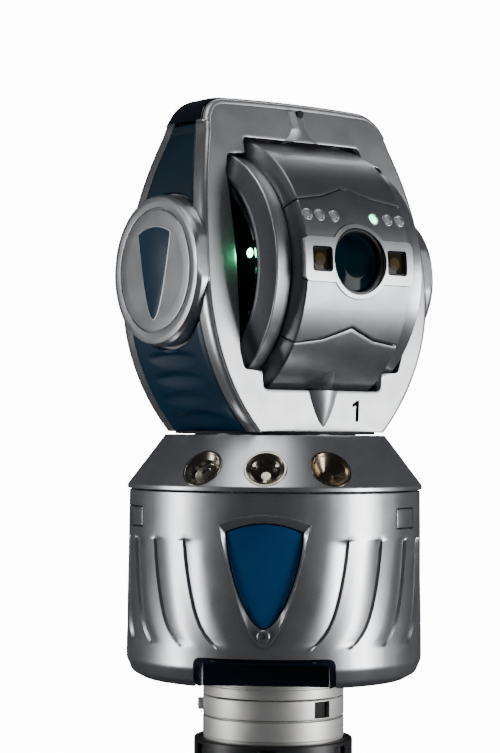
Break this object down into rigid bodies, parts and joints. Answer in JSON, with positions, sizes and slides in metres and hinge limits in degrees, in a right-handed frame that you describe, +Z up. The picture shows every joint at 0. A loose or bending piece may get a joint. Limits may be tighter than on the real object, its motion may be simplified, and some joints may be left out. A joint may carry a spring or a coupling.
{
  "type": "laser tracker head",
  "caption": "Metrology laser tracker head: round base on a threaded stand mount, turning yoke and a tilting drum that carries the laser window and cameras.",
  "frame": {"origin": "centre of the stand thread's mouth, on the azimuth axis", "axes": "+Z up along the azimuth axis, -Y out of the front of the yoke at rest, and the elevation axis along X"},
  "size_m": [0.22, 0.218, 0.491],
  "materials": {
    "silver_paint": "fine-grained metallic silver paint, satin",
    "drum_paint": "fine-grained metallic grey-silver paint, satin",
    "brushed_metal": "turned and brushed aluminium",
    "black_metal": "black anodised, satin",
    "dark_gloss": "near-black navy, glossy",
    "navy_panel": "deep navy blue, semi-gloss",
    "royal_blue": "royal blue, glossy",
    "polished_steel": "polished stainless steel",
    "casting": "machined aluminium casting",
    "steel": "ground steel",
    "magnet": "nickel-plated magnet",
    "winding": "copper windings in a laminated ring",
    "encoder_glass": "graduated glass disc",
    "lens_glass": "coated dark glass with a teal reflection",
    "camera_glass": "dark glossy window",
    "circuit_board": "green circuit board",
    "disc_grey": "grey satin paint",
    "light_clear": "translucent lens over an indicator",
    "light_green": "glowing green indicator",
    "socket_black": "black moulded plastic"
  },
  "bodies": {
    "base": {"stand_nut": "black_metal", "mount_adapter": "brushed_metal", "base_plate": "casting", "base_plate_screws": "steel", "base_housing": "silver_paint", "badge_bezel": "silver_paint", "badge_insert": "royal_blue", "recess_liner": "navy_panel", "access_covers": "silver_paint", "connector_panel": "socket_black", "rear_sockets": "socket_black", "nest_left": "polished_steel", "nest_middle": "polished_steel", "nest_right": "polished_steel", "nest_magnets": "magnet", "collar_cover": "silver_paint", "azimuth_housing": "casting", "azimuth_bearings": "steel", "azimuth_stator": "winding", "controller_board": "circuit_board"},
    "lock_collar": {"lock_ring": "brushed_metal"},
    "yoke": {"azimuth_spindle": "steel", "azimuth_rotor": "magnet", "azimuth_encoder_disc": "encoder_glass", "front_bezel": "silver_paint", "rear_bezel": "silver_paint", "yoke_base": "casting", "yoke_arm_left": "casting", "yoke_arm_right": "casting", "yoke_bridge": "casting", "top_cap": "dark_gloss", "upper_panel_left": "dark_gloss", "lower_panel_left": "navy_panel", "side_cover_left": "silver_paint", "upper_panel_right": "dark_gloss", "lower_panel_right": "navy_panel", "side_cover_right": "silver_paint", "side_cap_left": "silver_paint", "side_cap_right": "silver_paint", "cap_inlays": "navy_panel", "elevation_bearings": "steel", "elevation_stator": "winding"},
    "drum": {"elevation_rotor": "magnet", "trunnions": "steel", "elevation_encoder_disc": "encoder_glass", "drum_cover_rear": "drum_paint", "drum_cover_upper": "drum_paint", "drum_cover_lower": "drum_paint", "brow_cover": "drum_paint", "lens_plate": "drum_paint", "drum_frame": "casting", "lens_ring": "black_metal", "lens_window": "lens_glass", "laser_tube": "steel", "camera_windows": "camera_glass", "camera_modules": "socket_black", "indicator_lenses": "light_clear", "side_disc_left": "disc_grey", "side_disc_right": "disc_grey", "side_lights": "light_green"}
  },
  "joints": [
    {"name": "azimuth", "type": "hinge", "parent": "base", "child": "yoke", "pos_m": [0, 0, 0], "axis": [0, 0, 1], "continuous": true},
    {"name": "elevation", "type": "hinge", "parent": "yoke", "child": "drum", "pos_m": [0, 0, 0.3625], "axis": [-1, 0, 0], "range_deg": [-55, 228]},
    {"name": "lock_turn", "type": "hinge", "parent": "base", "child": "lock_collar", "pos_m": [0, 0, 0], "axis": [0, 0, 1], "range_deg": [0, 40]}
  ]
}
